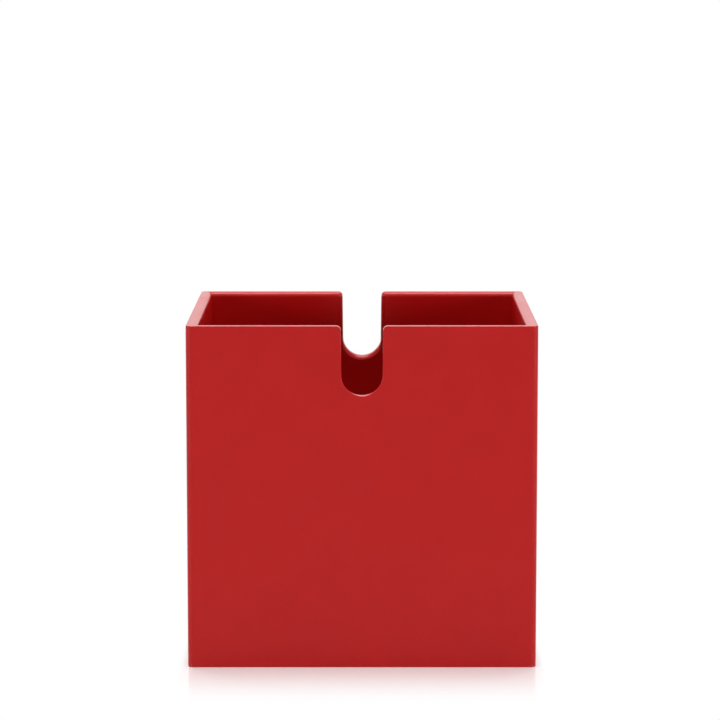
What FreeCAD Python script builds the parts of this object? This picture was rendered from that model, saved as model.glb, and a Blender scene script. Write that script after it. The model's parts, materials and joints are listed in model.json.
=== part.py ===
import FreeCAD, Part
import math
import os

import Sketcher
from FreeCAD import Placement, Rotation, Vector

# Drawer cube: an open box of four walls and a flush bottom board, with a finger notch
# in the front and the back wall. The walls butt together, front and back over the ends
# of the sides, and every joint is glued on hidden dowels.
# Millimetres. +Z is up, the front looks along -Y, and the origin is the middle of the
# underside.

doc = FreeCAD.newDocument("drawer_cube")
sheet = doc.addObject("Spreadsheet::Sheet", "sizes")

DRIVING_SIZES = [
    ("box_width", 300, "outside, left to right"),
    ("box_depth", 268, "outside, front to back"),
    ("box_height", 296, "underside to rim"),
    ("wall_thickness", 10, "board of the four walls"),
    ("bottom_thickness", 10, "board of the bottom"),
    ("corner_round", 5.5, "radius of the upright outer corners"),
    ("base_round", 0.6, "radius round the outer edge of the underside"),
    ("outer_round", 0.6, "radius of the outer rim and notch edges"),
    ("inner_round", 4, "radius of the inner rim and notch edges"),
    ("notch_depth", 60, "rim to the lowest point of the notch"),
    ("notch_opening", 44, "notch at the rim, with its rounded corners"),
    ("notch_root_radius", 17.5, "round bottom of the notch"),
    ("notch_corner_radius", 4, "corners where the notch meets the rim"),
    ("dowel_diameter", 5, "outside the flutes"),
    ("dowel_length", 25, "end to end"),
    ("dowel_chamfer", 0.7, "both ends of a dowel"),
    ("flute_count", 10, "glue flutes round a dowel"),
    ("flute_radius", 0.4, "half-round flutes along a dowel"),
    ("bore_play", 0.1, "bore diameter over dowel diameter"),
    ("bore_end_gap", 0.5, "bore left beyond each end of a dowel"),
    ("bore_cover", 2.5, "board left between a blind bore and the outer face"),
    ("corner_dowels", 3, "dowels in each upright corner joint"),
    ("bottom_dowels", 3, "dowels along each edge of the bottom board"),
]

for row, (alias, value, note) in enumerate(DRIVING_SIZES, start=1):
    sheet.set(f"A{row}", alias)
    sheet.set(f"B{row}", str(value))
    sheet.set(f"C{row}", note)
    sheet.setAlias(f"B{row}", alias)
doc.recompute()

# Slack when an edge is compared with the plane that it lies in
TOUCH = 0.001

# Directions in which the dowels are bored: each turn takes +Z to that direction
TOWARDS_BACK = Rotation(Vector(1, 0, 0), -90)
TOWARDS_FRONT = Rotation(Vector(1, 0, 0), 90)
TOWARDS_RIGHT = Rotation(Vector(0, 1, 0), 90)
TOWARDS_LEFT = Rotation(Vector(0, 1, 0), -90)


def size(alias):
    """Value of a named size."""
    return float(sheet.get(alias))


def tie(item, expressions):
    """Binds properties of an item to expressions of the named sizes."""
    for path, expression in expressions.items():
        item.setExpression(path, expression)


def put(item, east, north, up, turn=Rotation()):
    """Places an item at three expressions, with its own +Z turned."""
    item.Placement = Placement(Vector(), turn)
    tie(item, {"Placement.Base.x": east, "Placement.Base.y": north, "Placement.Base.z": up})


def new_sketch(body, name, plane):
    """A sketch on one of the origin planes of its body."""
    sketch = body.newObject("Sketcher::SketchObject", name)
    support = [f for f in body.Origin.OriginFeatures if f.Role == plane]
    sketch.AttachmentSupport = (support[0], [""])
    sketch.MapMode = "FlatFace"
    return sketch


def measure(sketch, name, constraint, expression):
    """Adds a named dimension that follows an expression."""
    index = sketch.addConstraint(constraint)
    sketch.renameConstraint(index, name)
    sketch.setExpression(f"Constraints.{name}", expression)


def add_rectangle(sketch, name, width, depth):
    """A rectangle centred on the sketch's origin, sized by two expressions."""
    corners = [Vector(-1, -1), Vector(1, -1), Vector(1, 1), Vector(-1, 1)]
    first = sketch.GeometryCount
    for side in range(4):
        sketch.addGeometry(Part.LineSegment(corners[side], corners[(side + 1) % 4]))
    for side in range(4):
        following = first + (side + 1) % 4
        sketch.addConstraint(Sketcher.Constraint("Coincident", first + side, 2, following, 1))
    for side in (0, 2):
        sketch.addConstraint(Sketcher.Constraint("Horizontal", first + side))
        sketch.addConstraint(Sketcher.Constraint("Vertical", first + side + 1))
    sketch.addConstraint(Sketcher.Constraint("Symmetric", first, 1, first + 2, 1, -1, 1))
    across = Sketcher.Constraint("DistanceX", first, 1, first, 2, 2)
    along = Sketcher.Constraint("DistanceY", first + 1, 1, first + 1, 2, 2)
    measure(sketch, f"{name}_width", across, width)
    measure(sketch, f"{name}_depth", along, depth)


def add_notch_outline(sketch):
    """Outline of the finger notch: round root, flared sides, rounded corners at the rim,
    carried on above the rim so that the cut opens it."""
    rim = size("box_height")
    root_radius = size("notch_root_radius")
    corner_radius = size("notch_corner_radius")
    half_opening = size("notch_opening") / 2
    root_up = rim - size("notch_depth") + root_radius
    top = rim + corner_radius
    # The side is the tangent common to the root circle and the corner circle
    reach = math.hypot(half_opening, rim - corner_radius - root_up)
    lean = math.atan2(rim - corner_radius - root_up, half_opening)
    lean -= math.acos((root_radius + corner_radius) / reach)
    outwards = Vector(math.cos(lean), math.sin(lean), 0)

    centre = Vector(0, root_up, 0)
    corner = Vector(half_opening, rim - corner_radius, 0)
    foot = centre + outwards * root_radius
    shoulder = corner - outwards * corner_radius
    mirrored = [Vector(-v.x, v.y, 0) for v in (corner, foot, shoulder)]
    corner_left, foot_left, shoulder_left = mirrored
    up = Vector(0, 0, 1)

    root_circle = Part.Circle(centre, up, root_radius)
    right_circle = Part.Circle(corner, up, corner_radius)
    left_circle = Part.Circle(corner_left, up, corner_radius)
    sketch.addGeometry(Part.ArcOfCircle(root_circle, math.pi - lean, 2 * math.pi + lean))
    sketch.addGeometry(Part.LineSegment(foot, shoulder))
    sketch.addGeometry(Part.ArcOfCircle(right_circle, math.pi / 2, math.pi + lean))
    sketch.addGeometry(Part.LineSegment(Vector(half_opening, rim), Vector(half_opening, top)))
    sketch.addGeometry(Part.LineSegment(Vector(half_opening, top), Vector(-half_opening, top)))
    sketch.addGeometry(Part.LineSegment(Vector(-half_opening, top), Vector(-half_opening, rim)))
    sketch.addGeometry(Part.ArcOfCircle(left_circle, -lean, math.pi / 2))
    sketch.addGeometry(Part.LineSegment(shoulder_left, foot_left))
    root, right, right_round, right_post, lintel, left_post, left_round, left = range(8)

    for constraint in (
        ("Tangent", root, 2, right, 1),
        ("Tangent", right, 2, right_round, 2),
        ("Coincident", right_round, 1, right_post, 1),
        ("Coincident", right_post, 2, lintel, 1),
        ("Coincident", lintel, 2, left_post, 1),
        ("Coincident", left_post, 2, left_round, 2),
        ("Tangent", left_round, 1, left, 1),
        ("Tangent", left, 2, root, 1),
        ("PointOnObject", root, 3, -2),
        ("Vertical", right_round, 3, right_round, 1),
        ("Vertical", left_round, 3, left_round, 2),
        ("Vertical", right_post),
        ("Vertical", left_post),
        ("Horizontal", lintel),
        ("Equal", right_round, left_round),
        ("Symmetric", right_round, 1, left_round, 2, -2),
    ):
        sketch.addConstraint(Sketcher.Constraint(*constraint))

    dimensions = {
        "root_radius": (("Radius", root, root_radius), "sizes.notch_root_radius"),
        "corner_radius": (("Radius", right_round, corner_radius), "sizes.notch_corner_radius"),
        "opening": (
            ("DistanceX", left_round, 2, right_round, 1, 2 * half_opening),
            "sizes.notch_opening",
        ),
        "rim_height": (("DistanceY", -1, 1, right_round, 1, rim), "sizes.box_height"),
        "root_height": (
            ("DistanceY", -1, 1, root, 3, root_up),
            "sizes.box_height - sizes.notch_depth + sizes.notch_root_radius",
        ),
        "above_rim": (
            ("DistanceY", right_post, 1, right_post, 2, corner_radius),
            "sizes.notch_corner_radius",
        ),
    }
    for name, (constraint, expression) in dimensions.items():
        measure(sketch, name, Sketcher.Constraint(*constraint), expression)


def round_edges(body, name, base, wanted, radius):
    """Rounds the edges of a feature that pass a test."""
    doc.recompute()
    edges = enumerate(base.Shape.Edges, start=1)
    chosen = [f"Edge{number}" for number, edge in edges if wanted(edge)]
    fillet = body.newObject("PartDesign::Fillet", name)
    fillet.Base = (base, chosen)
    tie(fillet, {"Radius": radius})
    body.Tip = fillet
    return fillet


def on_inner_face(vertex):
    """True on the faces that the walls turn to the inside."""
    half_width = size("box_width") / 2 - size("wall_thickness") + TOUCH
    half_depth = size("box_depth") / 2 - size("wall_thickness") + TOUCH
    return abs(vertex.X) < half_width and abs(vertex.Y) < half_depth


def is_upright_outer(edge):
    """Upright edges at the four outer corners."""
    spans = abs(edge.BoundBox.ZLength - size("box_height")) < TOUCH
    return spans and not any(on_inner_face(v) for v in edge.Vertexes)


def is_outer_base(edge):
    """Edges round the outside of the underside."""
    low = edge.BoundBox.ZMax < TOUCH
    return low and not any(on_inner_face(v) for v in edge.Vertexes)


def is_outer_rim(edge):
    """Outer rim and notch edges, above everything that starts at the underside."""
    high = edge.BoundBox.ZMin > size("base_round") + TOUCH
    return high and not any(on_inner_face(v) for v in edge.Vertexes)


def is_inner_rim(edge):
    """Inner rim and notch edges."""
    high = edge.BoundBox.ZMin > TOUCH
    return high and all(on_inner_face(v) for v in edge.Vertexes)


def shape_walls():
    """The four walls as one frame: the notch is cut and the edges are rounded once the
    box is glued up, so that the roundings run on across the joints."""
    body = doc.addObject("PartDesign::Body", "glued_walls")
    plan = new_sketch(body, "walls_plan", "XY_Plane")
    add_rectangle(plan, "outside", "sizes.box_width", "sizes.box_depth")
    add_rectangle(
        plan,
        "inside",
        "sizes.box_width - 2 * sizes.wall_thickness",
        "sizes.box_depth - 2 * sizes.wall_thickness",
    )
    frame = body.newObject("PartDesign::Pad", "walls_raised")
    frame.Profile = plan
    tie(frame, {"Length": "sizes.box_height"})
    doc.recompute()
    volume_before = frame.Shape.Volume

    outline = new_sketch(body, "notch_outline", "XZ_Plane")
    add_notch_outline(outline)
    notch = body.newObject("PartDesign::Pocket", "finger_notches")
    notch.Profile = outline
    notch.Type = "ThroughAll"
    notch.SideType = "Symmetric"
    doc.recompute()
    if notch.Shape.Volume >= volume_before:
        raise ValueError("the finger notches cut nothing")

    step = round_edges(body, "corners_rounded", notch, is_upright_outer, "sizes.corner_round")
    step = round_edges(body, "base_rounded", step, is_outer_base, "sizes.base_round")
    step = round_edges(body, "outer_rim_rounded", step, is_outer_rim, "sizes.outer_round")
    round_edges(body, "inner_rim_rounded", step, is_inner_rim, "sizes.inner_round")
    return body


def add_board(name, width, depth, height, east, north):
    """A rectangular board that stands on the underside's plane."""
    board = doc.addObject("Part::Box", name)
    tie(board, {"Length": width, "Width": depth, "Height": height})
    put(board, east, north, "0 mm")
    return board


def add_bore(name, place):
    """A dowel's bore, from the blind end in a wall into the edge of the other board."""
    bore = doc.addObject("Part::Cylinder", name)
    tie(
        bore,
        {
            "Radius": "(sizes.dowel_diameter + sizes.bore_play) / 2",
            "Height": "sizes.dowel_length + 2 * sizes.bore_end_gap",
        },
    )
    put(bore, *place)
    return bore


def add_dowel(name, place):
    """A fluted dowel with chamfered ends, which lies in the middle of its bore."""
    body = doc.addObject("PartDesign::Body", name)
    section = new_sketch(body, f"{name}_section", "XY_Plane")
    section.addGeometry(Part.Circle(Vector(), Vector(0, 0, 1), size("dowel_diameter") / 2))
    section.addConstraint(Sketcher.Constraint("Coincident", 0, 3, -1, 1))
    diameter = Sketcher.Constraint("Diameter", 0, size("dowel_diameter"))
    measure(section, "diameter", diameter, "sizes.dowel_diameter")
    tie(section, {"AttachmentOffset.Base.z": "sizes.bore_end_gap"})
    stick = body.newObject("PartDesign::Pad", f"{name}_stick")
    stick.Profile = section
    tie(stick, {"Length": "sizes.dowel_length"})
    doc.recompute()

    ends = body.newObject("PartDesign::Chamfer", f"{name}_ends")
    edges = enumerate(stick.Shape.Edges, start=1)
    rings = [f"Edge{number}" for number, edge in edges if edge.BoundBox.ZLength < TOUCH]
    ends.Base = (stick, rings)
    tie(ends, {"Size": "sizes.dowel_chamfer"})
    doc.recompute()

    groove = new_sketch(body, f"{name}_groove", "XY_Plane")
    middle = Vector(size("dowel_diameter") / 2, 0, 0)
    groove.addGeometry(Part.Circle(middle, Vector(0, 0, 1), size("flute_radius")))
    groove.addConstraint(Sketcher.Constraint("PointOnObject", 0, 3, -1))
    radius = Sketcher.Constraint("Radius", 0, size("flute_radius"))
    offset = Sketcher.Constraint("DistanceX", -1, 1, 0, 3, middle.x)
    measure(groove, "radius", radius, "sizes.flute_radius")
    measure(groove, "offset", offset, "sizes.dowel_diameter / 2")
    flute = body.newObject("PartDesign::Pocket", f"{name}_flute")
    flute.Profile = groove
    flute.Type = "ThroughAll"
    flute.SideType = "Symmetric"
    flutes = body.newObject("PartDesign::PolarPattern", f"{name}_flutes")
    flutes.Originals = [flute]
    flutes.Axis = (section, ["N_Axis"])
    tie(flutes, {"Occurrences": "sizes.flute_count"})
    body.Tip = flutes
    doc.recompute()
    if flutes.Shape.Volume >= ends.Shape.Volume:
        raise ValueError(f"{name} has no flutes")
    put(body, *place)
    return body


def share(number, count, span):
    """Expression for the middle of one of the equal shares of a joint's length."""
    return f"({number} - 0.5) / sizes.{count} * ({span})"


def dowel_places():
    """Name and place of each dowel's bore: its blind end, and the way that it points."""
    half_width = "sizes.box_width / 2"
    half_depth = "sizes.box_depth / 2"
    side_middle = f"{half_width} - sizes.wall_thickness / 2"
    inner_width = "sizes.box_width - 2 * sizes.wall_thickness"
    inner_depth = "sizes.box_depth - 2 * sizes.wall_thickness"
    board_middle = "sizes.bottom_thickness / 2"
    back_end = f"{half_depth} - sizes.bore_cover"
    right_end = f"{half_width} - sizes.bore_cover"
    front_end = f"-({back_end})"
    left_end = f"-({right_end})"

    places = []
    for number in range(1, int(size("corner_dowels")) + 1):
        up = share(number, "corner_dowels", "sizes.box_height")
        for hand, east in (("left", f"-({side_middle})"), ("right", side_middle)):
            front_place = (east, front_end, up, TOWARDS_BACK)
            back_place = (east, back_end, up, TOWARDS_FRONT)
            places.append((f"dowel_front_{hand}_{number}", front_place))
            places.append((f"dowel_back_{hand}_{number}", back_place))
    for number in range(1, int(size("bottom_dowels")) + 1):
        east = share(number, "bottom_dowels", inner_width) + f" - ({inner_width}) / 2"
        north = share(number, "bottom_dowels", inner_depth) + f" - ({inner_depth}) / 2"
        front_place = (east, front_end, board_middle, TOWARDS_BACK)
        back_place = (east, back_end, board_middle, TOWARDS_FRONT)
        left_place = (left_end, north, board_middle, TOWARDS_RIGHT)
        right_place = (right_end, north, board_middle, TOWARDS_LEFT)
        places.append((f"dowel_bottom_front_{number}", front_place))
        places.append((f"dowel_bottom_back_{number}", back_place))
        places.append((f"dowel_bottom_left_{number}", left_place))
        places.append((f"dowel_bottom_right_{number}", right_place))
    return places


def add_wall(name, frame, board):
    """The stretch of the glued-up frame that one board makes up."""
    wall = doc.addObject("Part::Common", f"{name}_shaped")
    wall.Base = frame
    wall.Tool = board
    return wall


def bore_board(name, board, bores):
    """A board with the bores of its dowels: a finished sub-part."""
    bored = doc.addObject("Part::Cut", name)
    bored.Base = board
    bored.Tool = bores
    return bored


# Dowels and their bores
dowels = []
bore_list = []
for dowel_name, dowel_place in dowel_places():
    dowels.append(add_dowel(dowel_name, dowel_place))
    bore_list.append(add_bore(f"{dowel_name}_bore", dowel_place))
bores = doc.addObject("Part::Compound", "bores")
bores.Links = bore_list

# Walls and bottom board
walls = shape_walls()
outer_left = "-sizes.box_width / 2"
outer_front = "-sizes.box_depth / 2"
inner_left = f"{outer_left} + sizes.wall_thickness"
inner_front = f"{outer_front} + sizes.wall_thickness"
inner_right = "sizes.box_width / 2 - sizes.wall_thickness"
inner_back = "sizes.box_depth / 2 - sizes.wall_thickness"
clear_width = "sizes.box_width - 2 * sizes.wall_thickness"
clear_depth = "sizes.box_depth - 2 * sizes.wall_thickness"

cross_board = ("sizes.box_width", "sizes.wall_thickness", "sizes.box_height")
side_board = ("sizes.wall_thickness", clear_depth, "sizes.box_height")
wall_boards = {
    "front_panel": (*cross_board, outer_left, outer_front),
    "back_panel": (*cross_board, outer_left, inner_back),
    "left_side_panel": (*side_board, outer_left, inner_front),
    "right_side_panel": (*side_board, inner_right, inner_front),
}
panels = []
for wall_name, board_sizes in wall_boards.items():
    wall_board = add_board(f"{wall_name}_board", *board_sizes)
    panels.append(bore_board(wall_name, add_wall(wall_name, walls, wall_board), bores))

bottom_board = add_board(
    "bottom_board", clear_width, clear_depth, "sizes.bottom_thickness", inner_left, inner_front
)
panels.append(bore_board("bottom_panel", bottom_board, bores))

# Check and write the sub-parts
doc.recompute()
for item in doc.Objects:
    if "Invalid" in item.State or "Error" in item.State:
        raise ValueError(f"{item.Label} failed: {item.State}")
for piece in panels + dowels:
    if piece.Shape.isNull() or not piece.Shape.isValid() or len(piece.Shape.Solids) != 1:
        raise ValueError(f"{piece.Label} isn't one sound solid")

os.makedirs("parts", exist_ok=True)
for piece in panels + dowels:
    piece.Shape.exportStep(os.path.join("parts", f"{piece.Label}.step"))
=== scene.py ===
import json
import math

import bpy
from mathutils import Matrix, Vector

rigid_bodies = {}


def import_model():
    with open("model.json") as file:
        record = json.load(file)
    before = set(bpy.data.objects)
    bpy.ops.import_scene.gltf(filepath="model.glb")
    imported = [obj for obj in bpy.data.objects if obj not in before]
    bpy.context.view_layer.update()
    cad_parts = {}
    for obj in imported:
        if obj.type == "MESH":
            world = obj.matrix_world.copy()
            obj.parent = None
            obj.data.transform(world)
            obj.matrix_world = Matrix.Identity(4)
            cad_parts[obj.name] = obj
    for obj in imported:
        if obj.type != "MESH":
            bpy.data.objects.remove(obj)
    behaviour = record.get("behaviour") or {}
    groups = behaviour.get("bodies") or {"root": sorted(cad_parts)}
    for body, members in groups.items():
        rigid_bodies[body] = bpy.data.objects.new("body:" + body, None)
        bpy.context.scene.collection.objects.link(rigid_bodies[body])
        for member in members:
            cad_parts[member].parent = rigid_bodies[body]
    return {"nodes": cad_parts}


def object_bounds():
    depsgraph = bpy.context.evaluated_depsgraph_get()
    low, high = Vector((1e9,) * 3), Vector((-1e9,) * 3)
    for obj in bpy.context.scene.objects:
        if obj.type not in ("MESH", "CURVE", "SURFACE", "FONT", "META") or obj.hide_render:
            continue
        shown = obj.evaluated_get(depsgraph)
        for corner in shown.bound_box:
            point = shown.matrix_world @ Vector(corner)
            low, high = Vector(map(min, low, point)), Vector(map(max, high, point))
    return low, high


# Open drawer box of a cube shelf: red lacquered board, glued on beech dowels.
# Metres, on the frame of the part: the origin is the middle of the underside, the front faces -Y.

MM = 0.001
PANELS = ("front_panel", "back_panel", "left_side_panel", "right_side_panel", "bottom_panel")


# Start

for leftover in list(bpy.data.objects):
    bpy.data.objects.remove(leftover)

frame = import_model()
cad_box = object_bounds()
box_low, box_high = cad_box
scene = bpy.context.scene


# Colours and nodes

def linear(hex_code, alpha=1.0):
    """An sRGB hex colour as the linear colour that the shaders work in."""
    channels = []
    for at in (1, 3, 5):
        value = int(hex_code[at:at + 2], 16) / 255
        channels.append(value / 12.92 if value <= 0.04045 else ((value + 0.055) / 1.055) ** 2.4)
    return (*channels, alpha)


def add(tree, kind, settings=None, **links):
    """Adds a node with its settings and links. A link is a value for the input or another node's output.
    It is named after its input, or _ and the input's number where two inputs share a name."""
    node = tree.nodes.new(kind)
    for name, value in (settings or {}).items():
        setattr(node, name, value)
    for name, value in links.items():
        key = int(name[1:]) if name.startswith("_") else name.replace("_", " ")
        if isinstance(value, bpy.types.NodeSocket):
            tree.links.new(value, node.inputs[key])
        else:
            node.inputs[key].default_value = value
    return node


def new_material(name):
    material = bpy.data.materials.new(name)
    material.use_nodes = True
    material.node_tree.nodes.clear()
    return material, material.node_tree


def finish_material(material, tree, surface):
    add(tree, "ShaderNodeOutputMaterial", Surface=surface)
    return material


# Finishes

RED_DARK = linear("#AE1010")
RED_BRIGHT = linear("#B21212")
LACQUER_CLOUD = 35 * MM
# Orange peel on sprayed furniture is 1 to 3 mm wide, too fine for the picture, so it is drawn at 5 mm
ORANGE_PEEL = 5 * MM
ORANGE_PEEL_DEPTH = 0.015 * MM
# Patches that the sandpaper and the cloth have left a little brighter or duller
RUBBED_PATCH = 60 * MM
ROUGHNESS_BRIGHT = 0.17
ROUGHNESS_DULL = 0.23
DUST_SPACING = 27 * MM
DIMPLE_RADIUS = 1.6 * MM
# A real dimple is some hundredths deep, too shallow for the picture, so it is drawn deeper
DIMPLE_DEPTH = 0.25 * MM

BEECH_DARK = linear("#C79F72")
BEECH_PALE = linear("#E2C49C")
BEECH_FLECK = linear("#8A5F3C")
BEECH_GRAIN = 0.8 * MM
BEECH_GRAIN_DEPTH = 0.03 * MM
BEECH_PORE = 0.4 * MM
BEECH_ROUGHNESS_SMOOTH = 0.55
BEECH_ROUGHNESS_DRY = 0.7
# A fleck shows only where its noise is high, and never hides the wood fully
FLECK_BEGINS = 0.62
FLECK_FULL = 0.7
FLECK_STRENGTH = 0.6
# Size of the grain's coordinate along the dowel: the grain is 1 / 0.08 times longer than it is wide
GRAIN_DRAWN_OUT = 0.08

# Nearly all of a noise lies between these values
NOISE_LOW = 0.3
NOISE_HIGH = 0.7


def satin_lacquer():
    """Sprayed red lacquer, sanded between the coats, on fibreboard. The eye sees an even, deep red with
    a soft satin gloss, faint clouds in the colour, a slight orange peel in the light along the rims,
    and now and then a dimple where a grain of dust was caught."""
    material, tree = new_material("satin_red_lacquer_on_fibreboard")
    place = add(tree, "ShaderNodeTexCoord").outputs["Object"]

    clouds = add(
        tree, "ShaderNodeTexNoise",
        Vector=place, Scale=1 / LACQUER_CLOUD, Detail=3.0, Roughness=0.6,
    )
    tint = add(
        tree, "ShaderNodeMapRange",
        Value=clouds.outputs["Fac"], From_Min=NOISE_LOW, From_Max=NOISE_HIGH,
    )
    colour = add(
        tree, "ShaderNodeMix", {"data_type": "RGBA"},
        Factor=tint.outputs["Result"], _6=RED_DARK, _7=RED_BRIGHT,
    )

    # Each cell of the pattern holds one grain, and only a grain within a dimple's radius of a face shows
    grains = add(tree, "ShaderNodeTexVoronoi", Vector=place, Scale=1 / DUST_SPACING)
    dimple = add(
        tree, "ShaderNodeMapRange", {"interpolation_type": "SMOOTHSTEP"},
        Value=grains.outputs["Distance"], From_Max=DIMPLE_RADIUS / DUST_SPACING,
    )
    peel = add(
        tree, "ShaderNodeTexNoise",
        Vector=place, Scale=1 / ORANGE_PEEL, Detail=2.0, Roughness=0.45,
    )
    peeled = add(
        tree, "ShaderNodeBump",
        Height=peel.outputs["Fac"], Distance=ORANGE_PEEL_DEPTH, Strength=1.0,
    )
    surface = add(
        tree, "ShaderNodeBump",
        Height=dimple.outputs["Result"], Distance=DIMPLE_DEPTH, Strength=1.0,
        Normal=peeled.outputs["Normal"],
    )

    rubbed = add(tree, "ShaderNodeTexNoise", Vector=place, Scale=1 / RUBBED_PATCH, Detail=2.0)
    sheen = add(
        tree, "ShaderNodeMapRange",
        Value=rubbed.outputs["Fac"], From_Min=NOISE_LOW, From_Max=NOISE_HIGH,
        To_Min=ROUGHNESS_BRIGHT, To_Max=ROUGHNESS_DULL,
    )

    paint = add(
        tree,
        "ShaderNodeBsdfPrincipled",
        Base_Color=colour.outputs[2],
        Roughness=sheen.outputs["Result"],
        IOR=1.5,
        Specular_IOR_Level=0.2,
        Normal=surface.outputs["Normal"],
    )
    return finish_material(material, tree, paint.outputs["BSDF"])


def turned_beech(name, stretch):
    """Bare beech, milled to a grooved dowel. The eye sees pale straw-pink wood with straight, fine grain
    along the dowel and short dark pore flecks, and no gloss. The stretch draws the grain out along it."""
    material, tree = new_material(name)
    place = add(tree, "ShaderNodeTexCoord").outputs["Object"]
    along = add(tree, "ShaderNodeMapping", Vector=place, Scale=stretch).outputs["Vector"]

    grain = add(
        tree, "ShaderNodeTexNoise",
        Vector=along, Scale=1 / BEECH_GRAIN, Detail=4.0, Roughness=0.6,
    )
    flecks = add(tree, "ShaderNodeTexNoise", Vector=along, Scale=1 / BEECH_PORE, Detail=1.0)
    wood = add(
        tree, "ShaderNodeMix", {"data_type": "RGBA"},
        Factor=grain.outputs["Fac"], _6=BEECH_DARK, _7=BEECH_PALE,
    )
    fleck = add(
        tree, "ShaderNodeMapRange",
        Value=flecks.outputs["Fac"], From_Min=FLECK_BEGINS, From_Max=FLECK_FULL, To_Max=FLECK_STRENGTH,
    )
    colour = add(
        tree, "ShaderNodeMix", {"data_type": "RGBA"},
        Factor=fleck.outputs["Result"], _6=wood.outputs[2], _7=BEECH_FLECK,
    )
    ridges = add(
        tree, "ShaderNodeBump",
        Height=grain.outputs["Fac"], Distance=BEECH_GRAIN_DEPTH, Strength=1.0,
    )
    dryness = add(
        tree, "ShaderNodeMapRange",
        Value=grain.outputs["Fac"], To_Min=BEECH_ROUGHNESS_SMOOTH, To_Max=BEECH_ROUGHNESS_DRY,
    )
    bare = add(
        tree,
        "ShaderNodeBsdfPrincipled",
        Base_Color=colour.outputs[2],
        Roughness=dryness.outputs["Result"],
        Normal=ridges.outputs["Normal"],
    )
    return finish_material(material, tree, bare.outputs["BSDF"])


lacquer = satin_lacquer()
beech_across = turned_beech("turned_beech_across", stretch=(GRAIN_DRAWN_OUT, 1, 1))
beech_front_to_back = turned_beech("turned_beech_front_to_back", stretch=(1, GRAIN_DRAWN_OUT, 1))


def finish_of(name):
    """The lacquer for a board, and for a dowel the beech whose grain runs the dowel's way."""
    if name in PANELS:
        return lacquer
    if name.startswith(("dowel_bottom_left", "dowel_bottom_right")):
        return beech_across
    return beech_front_to_back


for name, node in frame["nodes"].items():
    node.material_slots[0].material = finish_of(name)


# Studio

WHITE = (1, 1, 1, 1)
FLOOR_SIZE = 12.0
FLOOR_BELOW = 0.1 * MM
# The floor shows its card, with the box's shadow and reflection, as far as this beside the box, and
# before and behind it. Its share of plain white rises on the way, from this share close to the box.
CARD_BESIDE = 8 * MM
CARD_BEFORE = 130 * MM
WHITE_AT_THE_BOX = 0.2


def seen_directly(tree):
    """1 for what the camera sees, also in gloss or through glass, and 0 for the light on the box."""
    path = add(tree, "ShaderNodeLightPath")
    straight = add(
        tree, "ShaderNodeMath", {"operation": "MAXIMUM"},
        _0=path.outputs["Is Camera Ray"], _1=path.outputs["Is Glossy Ray"],
    )
    either = add(
        tree, "ShaderNodeMath", {"operation": "MAXIMUM"},
        _0=straight.outputs[0], _1=path.outputs["Is Transmission Ray"],
    )
    return either.outputs[0]


def make_world(fill_strength):
    """Even fill light on the box, in front of a white backdrop."""
    world = bpy.data.worlds.new("studio")
    world.use_nodes = True
    tree = world.node_tree
    tree.nodes.clear()
    fill = add(tree, "ShaderNodeBackground", Color=WHITE, Strength=fill_strength)
    white = add(tree, "ShaderNodeBackground", Color=WHITE, Strength=1.0)
    mix = add(
        tree, "ShaderNodeMixShader",
        _0=seen_directly(tree), _1=fill.outputs[0], _2=white.outputs[0],
    )
    add(tree, "ShaderNodeOutputWorld", Surface=mix.outputs[0])
    scene.world = world


def floor_card():
    """Smooth white card whose colour is tinted faintly pink, a painted reflection of the red box that
    shows where the card shows, close to the box. The eye sees the box's soft shadow on it, and the
    lacquer's faint reflection in its gloss.
    """
    material, tree = new_material("smooth_card_with_painted_pink_reflection")
    place = add(tree, "ShaderNodeTexCoord").outputs["Object"]
    mirrored = add(tree, "ShaderNodeVectorMath", {"operation": "ABSOLUTE"}, _0=place)
    outside = add(
        tree, "ShaderNodeVectorMath", {"operation": "SUBTRACT"},
        _0=mirrored.outputs[0], _1=(box_high.x, box_high.y, 0),
    )
    gap = add(
        tree, "ShaderNodeVectorMath", {"operation": "MAXIMUM"},
        _0=outside.outputs[0], _1=(0, 0, 0),
    )
    part_of_the_way = add(
        tree, "ShaderNodeVectorMath", {"operation": "DIVIDE"},
        _0=gap.outputs[0], _1=(CARD_BESIDE, CARD_BEFORE, 1),
    )
    far = add(tree, "ShaderNodeVectorMath", {"operation": "LENGTH"}, _0=part_of_the_way.outputs[0])
    outwards = add(
        tree, "ShaderNodeMapRange", {"interpolation_type": "SMOOTHSTEP"},
        Value=far.outputs["Value"], To_Min=WHITE_AT_THE_BOX, To_Max=1.0,
    )
    share = add(
        tree, "ShaderNodeMath", {"operation": "MULTIPLY"},
        _0=seen_directly(tree), _1=outwards.outputs[0],
    )
    # The pink in the card's colour is painted: it stands for the red light that the lacquer throws onto
    # the floor near the box.
    card = add(
        tree, "ShaderNodeBsdfPrincipled",
        Base_Color=linear("#FEF6F5"), Roughness=0.12, IOR=1.6,
    )
    white = add(tree, "ShaderNodeEmission", Color=WHITE, Strength=1.0)
    mix = add(
        tree, "ShaderNodeMixShader",
        _0=share.outputs[0], _1=card.outputs[0], _2=white.outputs[0],
    )
    return finish_material(material, tree, mix.outputs[0])


def make_floor():
    bpy.ops.mesh.primitive_plane_add(size=FLOOR_SIZE, location=(0, 0, -FLOOR_BELOW))
    floor = bpy.context.active_object
    floor.name = "floor"
    floor.data.materials.append(floor_card())


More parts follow.
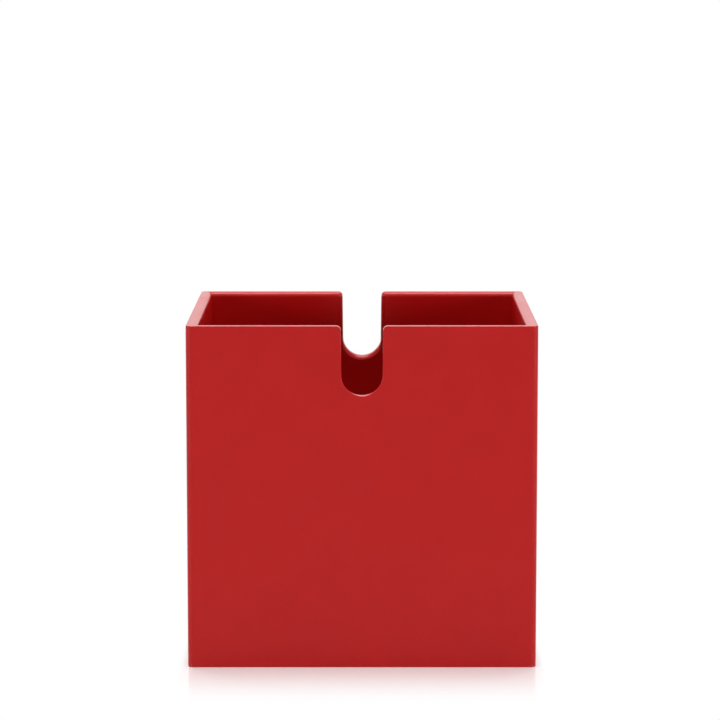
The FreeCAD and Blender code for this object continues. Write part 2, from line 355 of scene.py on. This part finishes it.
def softbox(name, azimuth, elevation, distance, width, height, brightness):
    """A lamp that faces the box's middle. Azimuth 0 is behind the box and 90 at its right;
    brightness 1 is the white of the backdrop."""
    turn = math.radians(azimuth)
    rise = math.radians(elevation)
    away = Vector((math.sin(turn) * math.cos(rise), math.cos(turn) * math.cos(rise), math.sin(rise)))
    data = bpy.data.lights.new(name, "AREA")
    data.shape = "RECTANGLE"
    data.size = width
    data.size_y = height
    data.energy = brightness * math.pi * width * height
    lamp = bpy.data.objects.new(name, data)
    lamp.location = Vector((0, 0, (box_low.z + box_high.z) / 2)) + away * distance
    lamp.rotation_mode = "QUATERNION"
    lamp.rotation_quaternion = away.to_track_quat("Z", "Y")
    scene.collection.objects.link(lamp)


make_world(fill_strength=0.03)
make_floor()
softbox("overhead", azimuth=0, elevation=90, distance=2.0, width=1.4, height=1.4, brightness=8.2)
softbox("behind", azimuth=0, elevation=58, distance=2.2, width=1.8, height=0.9, brightness=1.5)
softbox("front_left", azimuth=235, elevation=8, distance=2.4, width=1.2, height=0.6, brightness=9.1)
softbox("front_right", azimuth=120, elevation=8, distance=2.4, width=1.2, height=0.6, brightness=11.2)
softbox("back_left", azimuth=320, elevation=6, distance=2.4, width=1.2, height=0.6, brightness=7.8)
softbox("back_right", azimuth=40, elevation=6, distance=2.4, width=1.2, height=0.6, brightness=3.0)


# Camera

FRAME_PIXELS = 720
FOCAL_PIXELS = 2991
SIDEWAYS_PIXELS = -1.93
SENSOR = 36.0
FAR_LIMIT = 100
DISTANCE_TO_FRONT = 2.517
HEIGHT_OVER_RIM = 0.3114
# Degrees below the level
LOOKS_DOWN = 7.7


def make_camera():
    """The camera where the photograph was taken from, fitted to the corners of the box."""
    data = bpy.data.cameras.new("camera")
    data.sensor_width = SENSOR
    data.lens = SENSOR * FOCAL_PIXELS / FRAME_PIXELS
    data.shift_x = SIDEWAYS_PIXELS / FRAME_PIXELS
    data.clip_end = FAR_LIMIT
    camera = bpy.data.objects.new("camera", data)
    camera.location = (0, box_low.y - DISTANCE_TO_FRONT, box_high.z + HEIGHT_OVER_RIM)
    camera.rotation_euler = (math.radians(90 - LOOKS_DOWN), 0, 0)
    scene.collection.objects.link(camera)
    scene.camera = camera


make_camera()
scene.view_settings.view_transform = "Standard"
